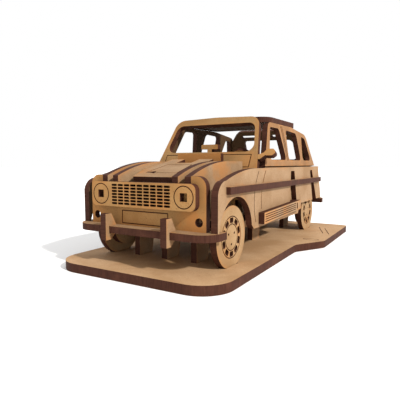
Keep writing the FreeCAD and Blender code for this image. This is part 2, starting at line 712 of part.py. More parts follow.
def windscreen_frame():
    foot = screen_edge(0)
    head = screen_edge(SCREEN_LENGTH)
    open_high = SCREEN_LENGTH - SCREEN_TOP_RAIL
    outline = [(-foot, 0), (foot, 0), (head, SCREEN_LENGTH, SCREEN_CORNER),
               (0, SCREEN_LENGTH + SCREEN_CROWN, 60.0), (-head, SCREEN_LENGTH, SCREEN_CORNER)]
    frame = sheet_from(outline)
    low = screen_edge(SCREEN_OPEN_LOW) - SCREEN_POST
    high = screen_edge(open_high) - SCREEN_POST
    opening = [(-low, SCREEN_OPEN_LOW, SCREEN_OPEN_CORNER),
               (low, SCREEN_OPEN_LOW, SCREEN_OPEN_CORNER),
               (high, open_high, SCREEN_OPEN_CORNER),
               (-high, open_high, SCREEN_OPEN_CORNER)]
    vent = low - 1.0
    line = line_groove([(-vent, 1.5), (vent, 1.5), (vent, SCREEN_OPEN_LOW - 1.6),
                        (-vent, SCREEN_OPEN_LOW - 1.6)], closed=True)
    return lean_across(carve(frame, [cutter(opening), line]),
                       SCREEN_FOOT_Y, SCREEN_FOOT_Z, SCREEN_RAKE)


def screen_edge(height):
    """Half width of the windscreen frame at a height up its slope."""
    return HALF - SCREEN_FOOT_IN - SCREEN_TAPER * height / SCREEN_LENGTH


def screen_back(z):
    """Y of the windscreen frame's back face at height z."""
    return SCREEN_FOOT_Y + SHEET / math.cos(RAKE) + (z - SCREEN_FOOT_Z) * math.tan(RAKE)


def door_mirror():
    """Mirror head and arm in the plane of the windscreen, on the driver's side."""
    root = 7.0
    x = screen_edge(root) + SLOT_FIT
    head = root + DOOR_MIRROR_RISE
    x_out = x + DOOR_MIRROR_REACH + DOOR_MIRROR_WIDTH / 2
    x_in = x_out - DOOR_MIRROR_WIDTH
    cut = DOOR_MIRROR_HEIGHT / 3
    low = head - DOOR_MIRROR_HEIGHT / 2
    high = head + DOOR_MIRROR_HEIGHT / 2
    outline = [(screen_edge(root - 1.0) + SLOT_FIT, root - 1.0), (x + 1.2, root - 1.0),
               (x_in + 0.6, low + 0.2), (x_in + cut, low), (x_out - cut, low),
               (x_out, low + cut), (x_out, high - cut), (x_out - cut, high),
               (x_in + cut, high), (x_in, high - cut), (x_in - 0.4, head - 0.2),
               (screen_edge(root + 1.6) + SLOT_FIT, root + 1.6)]
    return lean_across(sheet_from(outline), SCREEN_FOOT_Y, SCREEN_FOOT_Z, SCREEN_RAKE)


def dashboard():
    """Shelf behind the windscreen that carries the inside mirror and the column."""
    half = DASH_WIDTH / 2
    front = screen_back(DASH_Z + SHEET) + SLOT_FIT
    plate = sheet_from(rectangle(-half, front, half, front + DASH_LENGTH, 1.5))
    stem = MIRROR_STEM_WIDTH / 2 + SLOT_FIT
    slot = rectangle(MIRROR_X - stem, MIRROR_Y - SLOT_FIT, MIRROR_X + stem,
                     MIRROR_Y + SHEET + SLOT_FIT)
    return lay_flat(carve(plate, [cutter(slot)]), DASH_Z).cut(column_hole())


def inside_mirror():
    bar = MIRROR_BAR_WIDTH / 2
    stem = MIRROR_STEM_WIDTH / 2
    low = MIRROR_TOP - MIRROR_BAR_HEIGHT
    outline = [(MIRROR_X - stem, DASH_Z), (MIRROR_X + stem, DASH_Z), (MIRROR_X + stem, low),
               (MIRROR_X + bar, low), (MIRROR_X + bar, MIRROR_TOP, 0.8),
               (MIRROR_X - bar, MIRROR_TOP, 0.8), (MIRROR_X - bar, low), (MIRROR_X - stem, low)]
    return stand_across(sheet_from(outline), MIRROR_Y)


def steering_centre():
    """Middle of the steering wheel's front face."""
    return Vector(STEERING_X, STEERING_Y, STEERING_Z)


def steering_axis():
    tilt = math.radians(STEERING_TILT)
    return Vector(0, math.cos(tilt), math.sin(tilt))


def steering_wheel():
    """Ring with a hub and three spokes, drawn flat and then tilted."""
    ring = Part.makeCylinder(STEERING_R, SHEET)
    ring = ring.cut(Part.makeCylinder(STEERING_R - STEERING_RIM, SHEET))
    hub = Part.makeCylinder(COLUMN_D / 2 + 1.0, SHEET)
    spokes = []
    for turn in (90, 210, 330):
        spoke = Part.makeBox(STEERING_R - STEERING_RIM / 2, 1.4, SHEET, Vector(0, -0.7, 0))
        spoke.rotate(Vector(0, 0, 0), Vector(0, 0, 1), turn)
        spokes.append(spoke)
    wheel = ring.multiFuse([hub] + spokes).removeSplitter()
    wheel = wheel.cut(Part.makeCylinder(COLUMN_D / 2 + SLOT_FIT, SHEET))
    return place_on_column(wheel)


def place_on_column(piece):
    """Turn a piece from the Z axis to the column's axis and move it to the wheel."""
    placed = piece.copy()
    placed.Placement = FreeCAD.Placement(
        steering_centre(), FreeCAD.Rotation(Vector(0, 0, 1), steering_axis()))
    return placed


def column_rod(radius, spare):
    """Rod from the steering wheel down to the bulkhead and through it."""
    reach = (STEERING_Y - BULKHEAD_Y) / math.cos(math.radians(STEERING_TILT)) + spare
    return place_on_column(Part.makeCylinder(radius, reach + SHEET, Vector(0, 0, -reach)))


def steering_column():
    return column_rod(COLUMN_D / 2, 1.0)


def column_hole():
    return column_rod(COLUMN_D / 2 + SLOT_FIT, 3.0)


# ---- sides -----------------------------------------------------------------
def side_panel_flat():
    """Outer side panel with the wheel arch, slots, trim slots and engraved door lines."""
    arch_foot = math.sqrt(ARCH_R ** 2 - (FLOOR_Z - ARCH_Z) ** 2)
    step = WHEELBASE - SILL_END
    points = {
        "nose foot": (FRONT_Y, FLOOR_Z),
        "nose": (FRONT_Y, NOSE_CORNER_Z),
        "nose bend": (FRONT_Y + 2.0, NOSE_TOP_Z - 1.8),
        "wing front": (FRONT_Y + NOSE_CORNER_REACH, NOSE_TOP_Z),
        "wing bend": (0.7, 40.5),
        "wing top": (WING_TOP_Y, WING_TOP_Z),
        "belt rear": (TAIL_Y - TAIL_SLOPE, BELT_Z),
        "tail": (TAIL_Y, TAIL_Z),
        "step high": (step + 3.5, TAIL_Z),
        "step low": (step, SILL_Z),
        "sill front": (ARCH_Y + ARCH_R + 2.2, SILL_Z),
        "arch rear": (ARCH_Y + ARCH_R, ARCH_Z + 2.0),
        "arch top": (ARCH_Y, ARCH_Z + ARCH_R),
        "arch front": (ARCH_Y - arch_foot, FLOOR_Z),
    }
    at = {name: Vector(y, z, 0) for name, (y, z) in points.items()}
    rear_angle = math.asin(2.0 / ARCH_R)
    at["arch rear"] = Vector(ARCH_Y + ARCH_R * math.cos(rear_angle), ARCH_Z + 2.0, 0)

    def line(first, second):
        return Part.LineSegment(at[first], at[second]).toShape()

    def arc(first, middle, second):
        return Part.Arc(at[first], at[middle], at[second]).toShape()

    wire = Part.Wire([
        line("nose foot", "nose"), arc("nose", "nose bend", "wing front"),
        arc("wing front", "wing bend", "wing top"), line("wing top", "belt rear"),
        line("belt rear", "tail"), line("tail", "step high"), line("step high", "step low"),
        line("step low", "sill front"), line("sill front", "arch rear"),
        arc("arch rear", "arch top", "arch front"), line("arch front", "nose foot")])
    panel = Part.Face(wire).extrude(Vector(0, 0, SHEET))
    return carve(panel, side_slots() + trim_slots() + door_lines())


def side_slots():
    """The tapered slots behind the door and in front of the tail corner."""
    pillar = [(PILLAR_SLOT_Y, PILLAR_SLOT_LOW), (PILLAR_SLOT_Y + PILLAR_SLOT_FOOT, PILLAR_SLOT_LOW),
              (PILLAR_SLOT_Y + PILLAR_SLOT_TOP, PILLAR_SLOT_HIGH, 1.0),
              (PILLAR_SLOT_Y + 0.6, PILLAR_SLOT_HIGH, 1.0)]
    top = WHEELBASE - TAIL_SLOT_BACK
    foot = WHEELBASE - TAIL_SLOT_FOOT_BACK
    low = TAIL_Z - OUT_OF_SHEET
    tail = [(foot, low), (foot + TAIL_SLOT_FOOT_WIDE, low),
            (top + TAIL_SLOT_WIDE, PILLAR_SLOT_HIGH, 1.0), (top, PILLAR_SLOT_HIGH, 1.0)]
    return [cutter(pillar), cutter(tail)]


def trim_tab_places():
    """Front ends of the tabs that hold the trim strip in the side panel."""
    return [FRONT_Y + TRIM_FRONT + 8.0, 46.0, WHEELBASE - 24.0]


def trim_slots():
    low = TRIM_Z - SLOT_FIT
    high = TRIM_Z + SHEET + SLOT_FIT
    return [cutter(rectangle(y - SLOT_FIT, low, y + TRIM_TAB + SLOT_FIT, high))
            for y in trim_tab_places()]


def door_lines():
    """Two engraved lines that curve down the front of the door."""
    return [arc_groove((21.5, 40.6), (16.6, 29.5), (18.6, 17.0)),
            arc_groove((30.4, 40.8), (25.6, 31.5), (25.4, 22.5))]


def side_liner_flat():
    """Inner layer glued behind the side panel; it closes the slots and carries the windows."""
    front = BULKHEAD_Y + SHEET + SLOT_FIT
    end = WHEELBASE + LINER_END
    rear_step = WHEELBASE - WHEEL_R - 4 * MOVE_GAP
    low_front = SCREEN_FOOT_Z - SHEET * math.sin(RAKE) - SLOT_FIT
    outline = [(front, LINER_LOW), (rear_step, LINER_LOW), (rear_step, LINER_REAR_LOW),
               (end, LINER_REAR_LOW), (end, LINER_TOP), (GLASS_FRONT_Y - 0.4, LINER_TOP),
               (GLASS_FRONT_Y - 0.4, low_front), (front, low_front)]
    return sheet_from(outline)


def trim_strip():
    """Strip that lies flat along the side panel, its tabs through the panel."""
    front = FRONT_Y + TRIM_FRONT
    end = TAIL_Y - TRIM_REAR
    strip = sheet_from(rectangle(HALF, front, HALF + TRIM_PROUD, end))
    tabs = [sheet_from(rectangle(SIDE_IN, y, HALF + OUT_OF_SHEET, y + TRIM_TAB))
            for y in trim_tab_places()]
    return lay_flat(strip.multiFuse(tabs).removeSplitter(), TRIM_Z)


def running_board_flat():
    """Sill board with engraved lengthwise lines and one upright slit near its rear end."""
    end = WHEELBASE - BOARD_END
    outline = [(BOARD_Y, BOARD_LOW), (end, BOARD_LOW + BOARD_RISE, 1.0),
               (end, BOARD_HIGH + BOARD_RISE, 1.0), (BOARD_Y, BOARD_HIGH)]
    rise = BOARD_RISE / (end - BOARD_Y)
    slit = end - 8.0
    lines = []
    for share in (0.2, 0.4, 0.6, 0.8):
        z = BOARD_LOW + share * (BOARD_HIGH - BOARD_LOW)
        lines.append(bar_groove((BOARD_Y + 1.5, z + 1.5 * rise),
                                (slit - 2.0, z + (slit - 2.0 - BOARD_Y) * rise)))
    slit_low = BOARD_LOW + 0.9 + (slit - BOARD_Y) * rise
    slit_high = BOARD_HIGH - 0.9 + (slit - BOARD_Y) * rise
    lines.append(cutter(rectangle(slit, slit_low, slit + BOARD_SLIT, slit_high, 0.6)))
    return carve(sheet_from(outline), lines)


# ---- window panels ---------------------------------------------------------
def window(corners, radius):
    """Window opening whose corner radius is limited by its shorter side."""
    sides = [math.dist(corners[k], corners[k - 1]) for k in range(len(corners))]
    return [(y, z, min(radius, 0.35 * min(sides))) for y, z in corners]


def window_panel_flat():
    """Leaning panel with three windows and two engraved lines on the middle pillar."""
    rear = WHEELBASE + GLASS_REAR
    shoulder = WHEELBASE - GLASS_SHOULDER
    top = GLASS_HEIGHT
    fall_y = rear - GLASS_REAR_LEAN
    outline = [(GLASS_FRONT_Y, 0), (rear, 0), (fall_y, top - GLASS_FALL, 7.0),
               (shoulder, top, 30.0), (GLASS_FRONT_Y + GLASS_FRONT_LEAN, top, 6.0)]
    second_front = DOOR_WINDOW_BACK + PILLAR_B
    second_back = WHEELBASE - QUARTER_FRONT - PILLAR_C
    quarter_front = WHEELBASE - QUARTER_FRONT
    quarter_back = WHEELBASE + QUARTER_BACK
    door = [(DOOR_WINDOW_FRONT, WINDOW_LOW), (DOOR_WINDOW_BACK, WINDOW_LOW),
            (DOOR_WINDOW_BACK - 4.4, WINDOW_HIGH), (DOOR_WINDOW_FRONT + DOOR_WINDOW_LEAN, WINDOW_HIGH)]
    second = [(second_front, WINDOW_LOW), (second_back, WINDOW_LOW),
              (second_back - 0.6, WINDOW_HIGH - 0.8), (second_front + 3.0, WINDOW_HIGH)]
    quarter = [(quarter_front, WINDOW_LOW), (quarter_back, WINDOW_LOW),
               (quarter_back - 6.4, WINDOW_HIGH - 3.3), (quarter_front + 5.4, WINDOW_HIGH - 2.1)]
    cuts = [cutter(window(corners, WINDOW_CORNER)) for corners in (door, second, quarter)]
    pillar = DOOR_WINDOW_BACK + PILLAR_B / 2
    for shift in (-1.1, 0.9):
        for twin in (0, LINE_WIDTH * 0.8):
            at = pillar + shift + twin
            cuts.append(bar_groove((at, WINDOW_LOW), (at - 1.6, GLASS_HEIGHT - 1.0)))
    return carve(sheet_from(outline), cuts)


def window_panel():
    piece = stand_along(window_panel_flat(), -SHEET)
    piece.rotate(Vector(0, 0, 0), Vector(0, 1, 0), -LEAN_IN)
    piece.translate(Vector(SIDE_IN, 0, GLASS_FOOT_Z))
    return piece


def glass_inside(z):
    """Half width inside the window panels at height z."""
    return SIDE_IN - SHEET / math.cos(LEAN) - (z - GLASS_FOOT_Z) * math.tan(LEAN)


# ---- roof and tail ---------------------------------------------------------
def roof_panel():
    """Roof board on top of the window panels, its front edge bowed forwards."""
    z = roof_underside()
    half = glass_inside(z) + SHEET / math.cos(LEAN) - ROOF_SIDE_IN
    foot = SCREEN_FOOT_Y + (SCREEN_LENGTH + SCREEN_CROWN) * math.sin(RAKE)
    front = foot + SHEET * math.cos(RAKE) + ROOF_GAP
    end = WHEELBASE - ROOF_REAR
    bow = 2.6
    outline = [(half, front + bow, ROOF_CORNER), (half, end, 1.5), (-half, end, 1.5),
               (-half, front + bow, ROOF_CORNER), (0, front, 70.0)]
    return lay_flat(sheet_from(outline), z)


def roof_underside():
    return GLASS_FOOT_Z + GLASS_HEIGHT * math.cos(LEAN)


def tail_frame():
    """Leaning rear window frame between the window panels."""
    rake = math.radians(TAIL_FRAME_RAKE)
    foot_z = GLASS_FOOT_Z + 0.3
    foot = glass_inside(foot_z) - SLOT_FIT
    shoulder = glass_inside(foot_z + TAIL_SHOULDER * math.cos(rake)) - SLOT_FIT
    frame = sheet_from([(-foot, 0), (foot, 0), (shoulder, TAIL_SHOULDER),
                        (TAIL_CROWN, TAIL_FRAME_LENGTH, 5.0),
                        (-TAIL_CROWN, TAIL_FRAME_LENGTH, 5.0), (-shoulder, TAIL_SHOULDER)])
    opening = [(-TAIL_OPEN_RIGHT, TAIL_OPEN_LOW, 3.5), (TAIL_OPEN_LEFT, TAIL_OPEN_LOW, 3.5),
               (TAIL_OPEN_LEFT - 1.5, TAIL_OPEN_HIGH, 3.5), (-TAIL_OPEN_RIGHT, TAIL_OPEN_HIGH, 3.5)]
    cuts = [cutter(opening)]
    for side in (-1, 1):
        near, far = sorted((side * HEAD_SLOT_IN, side * HEAD_SLOT_OUT))
        cuts.append(cutter(rectangle(near, HEAD_SLOT_LOW, far, HEAD_SLOT_HIGH, 0.8)))
    piece = stand_across(carve(frame, cuts), -SHEET)
    piece.rotate(Vector(0, 0, 0), Vector(1, 0, 0), TAIL_FRAME_RAKE)
    piece.translate(Vector(0, WHEELBASE + GLASS_REAR - 0.4, foot_z))
    return piece


def tailgate():
    """Leaning lower tail panel between the side panels, with an engraved outline."""
    drop = BELT_Z - TAIL_Z
    rake = math.degrees(math.atan2(TAIL_SLOPE, drop))
    lean = math.radians(rake)
    rise = (REAR_BUMPER_Z + SHEET + SLOT_FIT - TAIL_Z + SHEET * math.sin(lean)) / math.cos(lean)
    length = math.hypot(TAIL_SLOPE, drop) - rise
    half = SIDE_IN - SLOT_FIT
    panel = sheet_from(rectangle(-half, 0, half, length))
    plate = PLATE_WIDTH / 2
    cuts = [line_groove([(-plate, 4.0), (plate, 4.0), (plate, 9.5), (-plate, 9.5)], closed=True),
            line_groove([(-half + 7, 2.0), (-half + 7, length - 1.5), (half - 7, length - 1.5),
                         (half - 7, 2.0)])]
    flat = carve(panel, cuts)
    flat.rotate(Vector(0, 0, SHEET / 2), Vector(0, 1, 0), 180)
    piece = stand_across(flat, -SHEET)
    piece.translate(Vector(0, 0, rise))
    piece.rotate(Vector(0, 0, 0), Vector(1, 0, 0), rake)
    piece.translate(Vector(0, TAIL_Y, TAIL_Z))
    return piece


def rear_bumper():
    half = HALF + REAR_BUMPER_WIDER
    end = TAIL_Y + REAR_BUMPER_PROUD
    front = FLOOR_REAR_Y + SLOT_FIT
    outline = [(half, TAIL_Y - 5.0), (half, end, REAR_BUMPER_CORNER),
               (-half, end, REAR_BUMPER_CORNER), (-half, TAIL_Y - 5.0),
               (-half + 9, TAIL_Y - 5.0), (-half + 9, front), (half - 9, front),
               (half - 9, TAIL_Y - 5.0)]
    return lay_flat(sheet_from(outline), REAR_BUMPER_Z)


# ---- wheels ----------------------------------------------------------------
def wheel_disc_flat():
    """Outer wheel layer with slots, stud holes and engraved rim and cap circles."""
    disc = Part.makeCylinder(WHEEL_R, SHEET)
    long, wide = WHEEL_SLOT_LONG / 2, WHEEL_SLOT_WIDE / 2
    cuts = []
    for index in range(WHEEL_SLOTS):
        slot = cutter(rectangle(WHEEL_SLOT_R - wide, -long, WHEEL_SLOT_R + wide, long, 0.7))
        slot.rotate(Vector(0, 0, 0), Vector(0, 0, 1), (index + 0.5) * 360 / WHEEL_SLOTS + 72)
        cuts.append(slot)
    for index in range(STUD_HOLES):
        angle = math.radians(index * 360 / STUD_HOLES + 30)
        cuts.append(round_cutter(STUD_R * math.cos(angle), STUD_R * math.sin(angle), STUD_D / 2))
    cuts.append(ring_groove(0, 0, RIM_LINE_R))
    cuts.append(ring_groove(0, 0, CAP_LINE_R))
    return carve(disc, cuts)


def wheel_hub_flat():
    """Inner wheel layer with the hole that the axle is glued in."""
    hub = Part.makeCylinder(HUB_R, SHEET)
    return hub.cut(round_cutter(0, 0, AXLE_D / 2))


def set_wheel(flat, x, y):
    """Stand a wheel layer at its axle, its low face at x."""
    piece = stand_along(flat, x)
    piece.translate(Vector(0, y, AXLE_Z))
    return piece


def axle(y):
    """Axle rod that ends against the outer wheel layers."""
    length = 2 * WHEEL_IN
    return Part.makeCylinder(AXLE_D / 2, length, Vector(-WHEEL_IN, y, AXLE_Z), Vector(1, 0, 0))


# ---- assembly --------------------------------------------------------------
def chassis_nodes():
    nodes = {"base_plate": base_plate(), "floor_plate": floor_plate()}
    for name, x in rail_centres().items():
        nodes["chassis_rail_" + name] = stand_along(rail_flat(), x - SHEET / 2)
    for name, y in cross_places().items():
        nodes["cross_member_" + name] = stand_across(cross_flat(), y - SHEET / 2)
    return nodes


def front_nodes():
    nodes = {"front_panel": front_panel(), "grille_panel": grille_panel(),
             "front_bumper": front_bumper(), "bonnet_panel": bonnet_panel(),
             "bulkhead": bulkhead(), "cowl_plate": cowl_plate()}
    for side, sign in (("left", 1), ("right", -1)):
        nodes["overrider_" + side] = stand_along(overrider_flat(), sign * RAIL_X - SHEET / 2)
        nodes["bonnet_rib_inner_" + side] = stand_along(rib_flat(), sign * RAIL_X - SHEET / 2)
        nodes["bonnet_rib_outer_" + side] = stand_along(rib_flat(), sign * OUTER_RIB_X - SHEET / 2)
    return nodes


def cabin_nodes():
    return {"windscreen_frame": windscreen_frame(), "door_mirror": door_mirror(),
            "dashboard": dashboard(), "inside_mirror": inside_mirror(),
            "steering_wheel": steering_wheel(), "steering_column": steering_column(),
            "roof_panel": roof_panel(), "tail_frame": tail_frame(),
            "tailgate": tailgate(), "rear_bumper": rear_bumper()}


def side_nodes():
    left = {"side_panel": stand_along(side_panel_flat(), SIDE_IN),
            "side_liner": stand_along(side_liner_flat(), LINER_IN),
            "trim_strip": trim_strip(),
            "running_board": stand_along(running_board_flat(), HALF),
            "window_panel": window_panel()}
    nodes = {}
    for name, piece in left.items():
        nodes[name + "_left"] = piece
        nodes[name + "_right"] = mirrored(piece)
    return nodes


def wheel_nodes():
    nodes = {}
    for end, y in (("front", 0), ("rear", WHEELBASE)):
        disc = set_wheel(wheel_disc_flat(), WHEEL_IN, y)
        hub = set_wheel(wheel_hub_flat(), HUB_IN, y)
        nodes[end + "_axle"] = axle(y)
        nodes["wheel_disc_" + end + "_left"] = disc
        nodes["wheel_disc_" + end + "_right"] = mirrored(disc)
        nodes["wheel_hub_" + end + "_left"] = hub
        nodes["wheel_hub_" + end + "_right"] = mirrored(hub)
    return nodes


def all_nodes():
    nodes = {}
    for group in (chassis_nodes, front_nodes, cabin_nodes, side_nodes, wheel_nodes):
        nodes.update(group())
    return nodes


def main():
    os.makedirs("parts", exist_ok=True)
    nodes = all_nodes()
    low = min(piece.BoundBox.YMin for piece in nodes.values())
    high = max(piece.BoundBox.YMax for piece in nodes.values())
    shift = Vector(0, -(low + high) / 2, BASE_SHEET)
    for name, piece in nodes.items():
        piece.translate(shift)
        piece.exportStep("parts/" + name + ".step")
        solids = len(piece.Solids)
        print(f"{name:26s} solids {solids} valid {piece.isValid()} volume {piece.Volume:9.1f}")
    print(f"{len(nodes)} nodes, front axle at Y = {shift.y:.2f}, Z = {AXLE_Z + BASE_SHEET:.2f}")


main()
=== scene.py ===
import math

import bpy
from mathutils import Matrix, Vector


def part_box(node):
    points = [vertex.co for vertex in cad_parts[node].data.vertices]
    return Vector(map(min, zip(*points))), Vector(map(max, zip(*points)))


MM = 0.001

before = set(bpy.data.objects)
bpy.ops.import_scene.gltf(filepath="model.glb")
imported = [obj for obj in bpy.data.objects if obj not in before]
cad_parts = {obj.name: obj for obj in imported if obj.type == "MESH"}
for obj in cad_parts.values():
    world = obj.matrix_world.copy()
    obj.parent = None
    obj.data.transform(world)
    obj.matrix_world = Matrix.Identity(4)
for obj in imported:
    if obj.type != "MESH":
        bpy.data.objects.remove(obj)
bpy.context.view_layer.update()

# ---------------------------------------------------------------- colours
# linear albedos of raw fibreboard and of the edge that the laser leaves
BOARD_LIGHT = (0.560, 0.355, 0.178)
BOARD_DARK = (0.430, 0.250, 0.110)
SCORCH = (0.400, 0.165, 0.045)
# painted shade: near-black laid on the faces that look into the cabin
INSIDE_SHADE = (0.060, 0.032, 0.015)
CHAR_LIGHT = (0.068, 0.026, 0.016)
CHAR_PATCH = (0.100, 0.038, 0.022)
CHAR_DARK = (0.036, 0.013, 0.008)
GROOVE = (0.045, 0.017, 0.009)
FIBRE = (0.36, 0.20, 0.085)
SPECK = (0.20, 0.10, 0.045)
DOWEL_LIGHT = (0.44, 0.31, 0.18)
DOWEL_DARK = (0.29, 0.18, 0.09)
DOWEL_END = (0.22, 0.12, 0.05)
PAPER_LIGHT = (0.90, 0.90, 0.90)
PAPER_DARK = (0.86, 0.86, 0.86)

# ---------------------------------------------------------------- sizes of the grain
# noise scales, in repeats per metre
CLOUD = 55.0             # slow change of tone over a sheet
PATCH = 240.0
FIBRES = 2600.0
SPECKS = 1500.0
HAZE_WANDER = 90.0
SMOKE = 170.0
STROKES = 2600.0         # the laser's strokes on a cut edge
BURN = 130.0
DOWEL_GRAIN = 1300.0
PAPER_CLOUD = 3.0
PAPER_GRAIN = 900.0

SHEET_SKIN = 0.12 * MM      # nearer to the sheet's surface than this is sheet face
GROOVE_FLOOR = 0.22 * MM    # deeper than this is the floor of an engraved line
HAZE_REACH = 2.2 * MM    # orange haze beside a cut
BOARD_BUMP = 0.10 * MM
DOWEL_BUMP = 0.08 * MM
PAPER_BUMP = 0.02 * MM
USUAL_SCORCH = 0.55      # strength of the haze on most pieces
SEED_STEP = 0.37         # moves the grain on from one piece to the next


# ---------------------------------------------------------------- node graph helpers
class Graph:
    """A node tree that is written as nested calls."""

    def __init__(self, name):
        self.material = bpy.data.materials.new(name)
        self.material.use_nodes = True
        self.tree = self.material.node_tree
        self.tree.nodes.clear()
        self.place = self.node("ShaderNodeTexCoord").outputs["Object"]
        self.normal = self.tree.nodes[0].outputs["Normal"]

    def node(self, kind, **settings):
        made = self.tree.nodes.new(kind)
        for key, value in settings.items():
            setattr(made, key, value)
        return made

    def feed(self, socket, value):
        if isinstance(value, bpy.types.NodeSocket):
            self.tree.links.new(value, socket)
        elif isinstance(value, (tuple, list, Vector)) and socket.type == "RGBA":
            socket.default_value = (*value[:3], 1.0)
        else:
            socket.default_value = value

    def math(self, operation, first, second=0.0, third=0.0, clamp=False):
        made = self.node("ShaderNodeMath", operation=operation, use_clamp=clamp)
        for socket, value in zip(made.inputs, (first, second, third)):
            self.feed(socket, value)
        return made.outputs[0]

    def vector(self, operation, first, second=(0, 0, 0), scale=1.0):
        made = self.node("ShaderNodeVectorMath", operation=operation)
        self.feed(made.inputs[0], first)
        if operation == "SCALE":
            self.feed(made.inputs["Scale"], scale)
        else:
            self.feed(made.inputs[1], second)
        return made.outputs["Value" if operation in ("DOT_PRODUCT", "LENGTH", "DISTANCE") else "Vector"]

    def step(self, value, low, high):
        """0 below low, 1 above high, smooth between them."""
        made = self.node("ShaderNodeMapRange", interpolation_type="SMOOTHSTEP")
        self.feed(made.inputs["Value"], value)
        made.inputs["From Min"].default_value = low
        made.inputs["From Max"].default_value = high
        return made.outputs["Result"]

    def noise(self, place, scale, detail=3.0, rough=0.55, twist=0.0):
        made = self.node("ShaderNodeTexNoise")
        self.feed(made.inputs["Vector"], place)
        made.inputs["Scale"].default_value = scale
        made.inputs["Detail"].default_value = detail
        made.inputs["Roughness"].default_value = rough
        made.inputs["Distortion"].default_value = twist
        return made.outputs["Fac"]

    def stretched(self, place, axis, along, share):
        """place squeezed along an axis, so that grain runs long in that direction."""
        back = self.vector("SCALE", tuple(axis), scale=self.math("MULTIPLY", along, share))
        return self.vector("SUBTRACT", place, back)

    def mix(self, share, first, second, blend="MIX"):
        made = self.node("ShaderNodeMix", data_type="RGBA", blend_type=blend, clamp_factor=True)
        self.feed(made.inputs[0], share)
        self.feed(made.inputs[6], first)
        self.feed(made.inputs[7], second)
        return made.outputs[2]

    def blend(self, share, first, second):
        """Numbers: first where share is 0, second where it is 1."""
        made = self.node("ShaderNodeMix", data_type="FLOAT", clamp_factor=True)
        for socket, value in zip(made.inputs[:1] + made.inputs[2:4], (share, first, second)):
            self.feed(socket, value)
        return made.outputs[0]

    def finish(self, colour, rough, height, reach, specular=0.25):
        bump = self.node("ShaderNodeBump")
        bump.inputs["Strength"].default_value = 0.6
        bump.inputs["Distance"].default_value = reach
        self.feed(bump.inputs["Height"], height)
        shader = self.node("ShaderNodeBsdfPrincipled")
        self.feed(shader.inputs["Base Color"], colour)
        self.feed(shader.inputs["Roughness"], rough)
        self.feed(shader.inputs["Specular IOR Level"], specular)
        self.feed(shader.inputs["Normal"], bump.outputs["Normal"])
        out = self.node("ShaderNodeOutputMaterial")
        self.tree.links.new(shader.outputs["BSDF"], out.inputs["Surface"])
        return self.material


# ---------------------------------------------------------------- materials
def plate_span(node, axis):
    """Middle and half thickness of a plate, along its own axis."""
    along = [vertex.co.dot(axis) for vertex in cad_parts[node].data.vertices]
    return (min(along) + max(along)) / 2, (max(along) - min(along)) / 2


